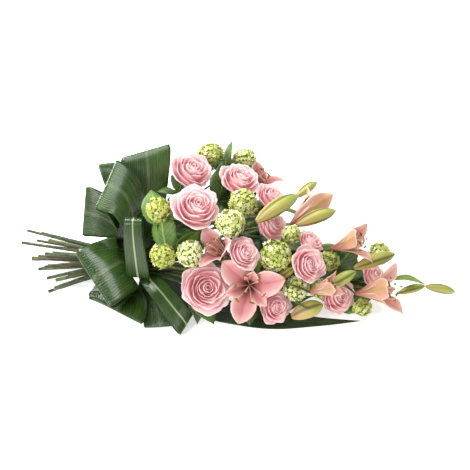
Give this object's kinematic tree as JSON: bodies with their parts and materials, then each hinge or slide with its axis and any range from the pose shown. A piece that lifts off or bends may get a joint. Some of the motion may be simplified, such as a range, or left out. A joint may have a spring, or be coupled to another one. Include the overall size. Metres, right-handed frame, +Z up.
{
  "type": "funeral rose bouquet",
  "caption": "Single-ended funeral sheaf of pink roses, lilies and snowball viburnum, tied with its cut stems among folded glossy leaves, to be laid flat.",
  "frame": {"origin": "On the surface that the sheaf lies on, below the middle of the box round the whole sheaf.", "axes": "+X runs along the sheaf from the cut stems to the tip, +Y from its front edge to its back edge, and +Z up from the surface that it lies on."},
  "size_m": [0.8026, 0.347, 0.233],
  "materials": {
    "rose_petal": "soft matt rose petal, pale pink, deeper in its folds",
    "rose_green": "satin rose stem and leaf, mid to dark green",
    "lily_petal": "satin lily petal, dusty salmon pink with a pale edge",
    "lily_green": "satin lily stem, leaf and bud, yellow green",
    "snowball_green": "matt clusters of small florets, pale yellow green, with green stems",
    "glossy_leaf": "glossy dark green leaf with fine parallel veins",
    "twine": "rough natural twine"
  },
  "bodies": {
    "root": {"rose_stem_01": "rose_green", "rose_bloom_01": "rose_petal", "rose_stem_02": "rose_green", "rose_bloom_02": "rose_petal", "rose_stem_03": "rose_green", "rose_bloom_03": "rose_petal", "rose_stem_04": "rose_green", "rose_bloom_04": "rose_petal", "rose_stem_05": "rose_green", "rose_bloom_05": "rose_petal", "rose_stem_06": "rose_green", "rose_bloom_06": "rose_petal", "rose_stem_07": "rose_green", "rose_bloom_07": "rose_petal", "rose_stem_08": "rose_green", "rose_bloom_08": "rose_petal", "rose_stem_09": "rose_green", "rose_bloom_09": "rose_petal", "rose_stem_10": "rose_green", "rose_bloom_10": "rose_petal", "rose_stem_11": "rose_green", "rose_bloom_11": "rose_petal", "rose_stem_12": "rose_green", "rose_bloom_12": "rose_petal", "lily_stem_01": "lily_green", "lily_stem_02": "lily_green", "lily_stem_03": "lily_green", "lily_stem_04": "lily_green", "lily_stem_05": "lily_green", "lily_stem_06": "lily_green", "snowball_spray_01": "snowball_green", "snowball_spray_02": "snowball_green", "snowball_spray_03": "snowball_green", "snowball_spray_04": "snowball_green", "snowball_spray_05": "snowball_green", "snowball_spray_06": "snowball_green", "folded_leaf_back_top": "glossy_leaf", "folded_leaf_top": "glossy_leaf", "folded_leaf_left": "glossy_leaf", "folded_leaf_back_left": "glossy_leaf", "folded_leaf_front_left": "glossy_leaf", "folded_leaf_low_left": "glossy_leaf", "folded_leaf_low_middle": "glossy_leaf", "folded_leaf_low_front": "glossy_leaf", "folded_leaf_inner": "glossy_leaf", "folded_leaf_collar": "glossy_leaf", "base_leaf_01": "glossy_leaf", "base_leaf_02": "glossy_leaf", "binding": "twine", "lily_flower_01": "lily_petal", "lily_flower_02": "lily_petal", "lily_flower_03": "lily_petal", "lily_flower_04": "lily_petal", "lily_flower_05": "lily_petal", "lily_flower_06": "lily_petal", "lily_flower_07": "lily_petal"}
  },
  "joints": []
}
